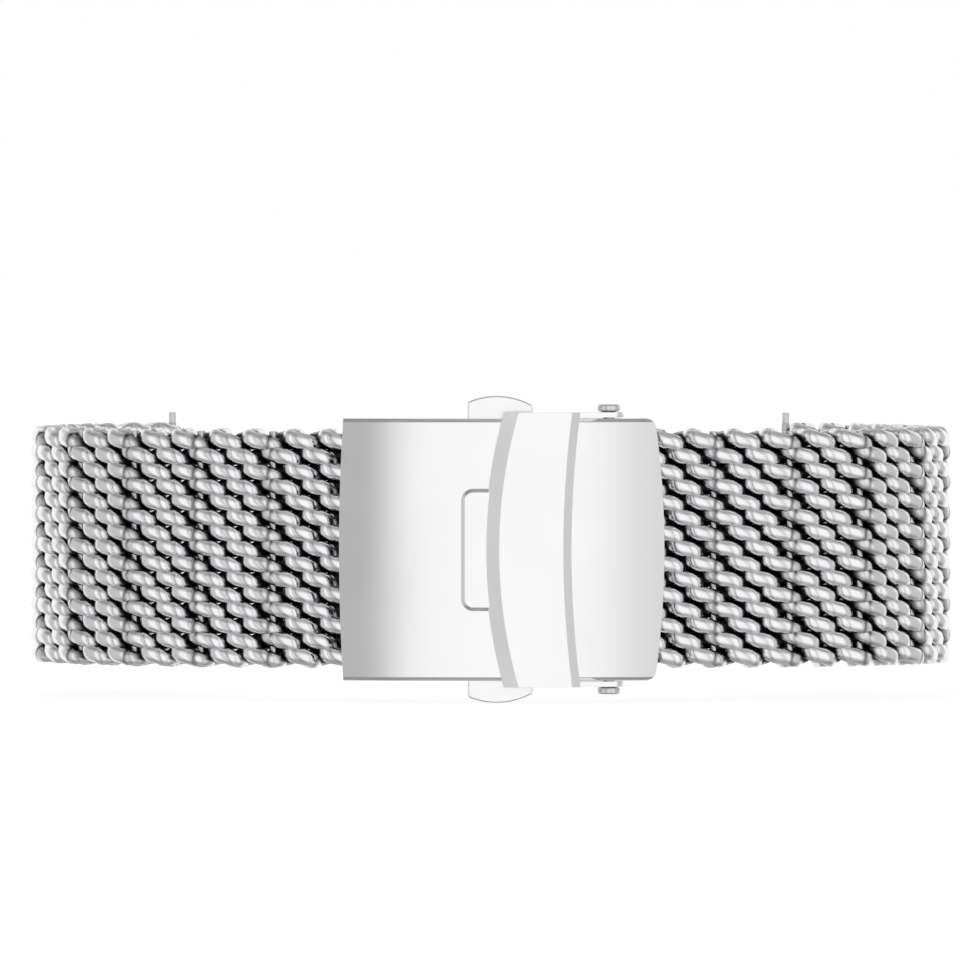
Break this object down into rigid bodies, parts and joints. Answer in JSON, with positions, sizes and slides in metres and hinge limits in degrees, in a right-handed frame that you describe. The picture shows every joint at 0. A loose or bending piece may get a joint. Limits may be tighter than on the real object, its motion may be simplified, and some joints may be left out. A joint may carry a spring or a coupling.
{
  "type": "mesh watch band",
  "caption": "Woven steel wire mesh watch band closed as a loop, with a folding clasp, a safety flap and two push buttons.",
  "frame": {"origin": "middle of the closed loop's box: half way across the band's width, half way between clasp flap and free ends", "axes": "+Z across the band's width (the band stands on its side edge), +X along the clasp towards its flap end, -Y out of the clasp's front"},
  "size_m": [0.0788, 0.0473, 0.026],
  "materials": {
    "mesh_steel": "polished steel wire",
    "clasp_steel": "polished steel sheet",
    "pin_steel": "ground steel",
    "spring_steel": "drawn spring wire"
  },
  "bodies": {
    "clasp_cover": {"clasp_cover": "clasp_steel", "cover_spring_bar": "pin_steel", "cover_hinge_pin": "pin_steel", "flap_pivot_studs": "pin_steel", "button_spring_upper": "spring_steel", "button_spring_lower": "spring_steel"},
    "inner_blade": {"inner_blade": "clasp_steel", "blade_hinge_pin": "pin_steel"},
    "outer_blade": {"outer_blade": "clasp_steel", "blade_spring_bar": "pin_steel"},
    "safety_flap": {"safety_flap": "clasp_steel"},
    "button_upper": {"button_upper": "clasp_steel"},
    "button_lower": {"button_lower": "clasp_steel"},
    "link_left_1": {"link_left_1": "mesh_steel", "link_pin_left_1": "pin_steel"},
    "link_left_2": {"link_left_2": "mesh_steel", "link_pin_left_2": "pin_steel"},
    "link_left_3": {"link_left_3": "mesh_steel", "link_pin_left_3": "pin_steel"},
    "link_left_4": {"link_left_4": "mesh_steel", "link_pin_left_4": "pin_steel"},
    "link_left_5": {"link_left_5": "mesh_steel", "link_pin_left_5": "pin_steel"},
    "link_left_6": {"link_left_6": "mesh_steel", "link_pin_left_6": "pin_steel"},
    "link_left_7": {"link_left_7": "mesh_steel", "link_pin_left_7": "pin_steel"},
    "link_left_8": {"link_left_8": "mesh_steel", "link_pin_left_8": "pin_steel"},
    "link_left_9": {"link_left_9": "mesh_steel", "lug_bar_left": "pin_steel"},
    "link_right_1": {"link_right_1": "mesh_steel", "link_pin_right_1": "pin_steel"},
    "link_right_2": {"link_right_2": "mesh_steel", "link_pin_right_2": "pin_steel"},
    "link_right_3": {"link_right_3": "mesh_steel", "link_pin_right_3": "pin_steel"},
    "link_right_4": {"link_right_4": "mesh_steel", "link_pin_right_4": "pin_steel"},
    "link_right_5": {"link_right_5": "mesh_steel", "link_pin_right_5": "pin_steel"},
    "link_right_6": {"link_right_6": "mesh_steel", "link_pin_right_6": "pin_steel"},
    "link_right_7": {"link_right_7": "mesh_steel", "link_pin_right_7": "pin_steel"},
    "link_right_8": {"link_right_8": "mesh_steel", "link_pin_right_8": "pin_steel"},
    "link_right_9": {"link_right_9": "mesh_steel", "lug_bar_right": "pin_steel"}
  },
  "joints": [
    {"name": "clasp_fold", "type": "hinge", "parent": "clasp_cover", "child": "inner_blade", "pos_m": [0.0131, -0.01915, 0], "axis": [0, 0, -1], "range_deg": [0, 165]},
    {"name": "blade_fold", "type": "hinge", "parent": "inner_blade", "child": "outer_blade", "pos_m": [-0.0087, -0.01795, 0], "axis": [0, 0, 1], "range_deg": [0, 165]},
    {"name": "flap_swing", "type": "hinge", "parent": "clasp_cover", "child": "safety_flap", "pos_m": [0.0101, -0.01955, 0], "axis": [0, 0, 1], "range_deg": [0, 100]},
    {"name": "button_upper_push", "type": "slide", "parent": "clasp_cover", "child": "button_upper", "axis": [0, 0, -1], "range_m": [0, 0.0008], "stiffness_N_per_m": 1500, "springref_m": -0.0005, "deforming": ["button_spring_upper"]},
    {"name": "button_lower_push", "type": "slide", "parent": "clasp_cover", "child": "button_lower", "axis": [0, 0, 1], "range_m": [0, 0.0008], "stiffness_N_per_m": 1500, "springref_m": -0.0005, "deforming": ["button_spring_lower"]},
    {"name": "left_flex_1", "type": "hinge", "parent": "clasp_cover", "child": "link_left_1", "pos_m": [-0.0118, -0.01695, 0], "axis": [0, 0, 1], "range_deg": [-22, 18]},
    {"name": "left_flex_2", "type": "hinge", "parent": "link_left_1", "child": "link_left_2", "pos_m": [-0.01824, -0.01604, 0], "axis": [0, 0, 1], "range_deg": [-18, 22]},
    {"name": "left_flex_3", "type": "hinge", "parent": "link_left_2", "child": "link_left_3", "pos_m": [-0.02434, -0.01382, 0], "axis": [0, 0, 1], "range_deg": [-20, 20]},
    {"name": "left_flex_4", "type": "hinge", "parent": "link_left_3", "child": "link_left_4", "pos_m": [-0.02997, -0.01057, 0], "axis": [0, 0, 1], "range_deg": [-15, 25]},
    {"name": "left_flex_5", "type": "hinge", "parent": "link_left_4", "child": "link_left_5", "pos_m": [-0.03457, -0.00597, 0], "axis": [0, 0, 1], "range_deg": [-9, 31]},
    {"name": "left_flex_6", "type": "hinge", "parent": "link_left_5", "child": "link_left_6", "pos_m": [-0.03721, -0.00003, 0], "axis": [0, 0, 1], "range_deg": [-10, 30]},
    {"name": "left_flex_7", "type": "hinge", "parent": "link_left_6", "child": "link_left_7", "pos_m": [-0.03767, 0.00645, 0], "axis": [0, 0, 1], "range_deg": [-10, 30]},
    {"name": "left_flex_8", "type": "hinge", "parent": "link_left_7", "child": "link_left_8", "pos_m": [-0.03588, 0.0127, 0], "axis": [0, 0, 1], "range_deg": [-12, 28]},
    {"name": "left_flex_9", "type": "hinge", "parent": "link_left_8", "child": "link_left_9", "pos_m": [-0.03224, 0.01809, 0], "axis": [0, 0, 1], "range_deg": [-14, 26]},
    {"name": "right_flex_1", "type": "hinge", "parent": "outer_blade", "child": "link_right_1", "pos_m": [0.0125, -0.01645, 0], "axis": [0, 0, 1], "range_deg": [-15, 25]},
    {"name": "right_flex_2", "type": "hinge", "parent": "link_right_1", "child": "link_right_2", "pos_m": [0.01897, -0.01588, 0], "axis": [0, 0, 1], "range_deg": [-14, 26]},
    {"name": "right_flex_3", "type": "hinge", "parent": "link_right_2", "child": "link_right_3", "pos_m": [0.0254, -0.01486, 0], "axis": [0, 0, 1], "range_deg": [-25, 15]},
    {"name": "right_flex_4", "type": "hinge", "parent": "link_right_3", "child": "link_right_4", "pos_m": [0.03133, -0.01222, 0], "axis": [0, 0, 1], "range_deg": [-33, 7]},
    {"name": "right_flex_5", "type": "hinge", "parent": "link_right_4", "child": "link_right_5", "pos_m": [0.03577, -0.00747, 0], "axis": [0, 0, 1], "range_deg": [-34, 6]},
    {"name": "right_flex_6", "type": "hinge", "parent": "link_right_5", "child": "link_right_6", "pos_m": [0.03788, -0.00132, 0], "axis": [0, 0, 1], "range_deg": [-32, 8]},
    {"name": "right_flex_7", "type": "hinge", "parent": "link_right_6", "child": "link_right_7", "pos_m": [0.03754, 0.00517, 0], "axis": [0, 0, 1], "range_deg": [-29, 11]},
    {"name": "right_flex_8", "type": "hinge", "parent": "link_right_7", "child": "link_right_8", "pos_m": [0.03511, 0.0112, 0], "axis": [0, 0, 1], "range_deg": [-28, 12]},
    {"name": "right_flex_9", "type": "hinge", "parent": "link_right_8", "child": "link_right_9", "pos_m": [0.03093, 0.01618, 0], "axis": [0, 0, 1], "range_deg": [-26, 14]}
  ],
  "couplings": [
    {"joint": "blade_fold", "follows": "clasp_fold", "ratio": 1}
  ]
}
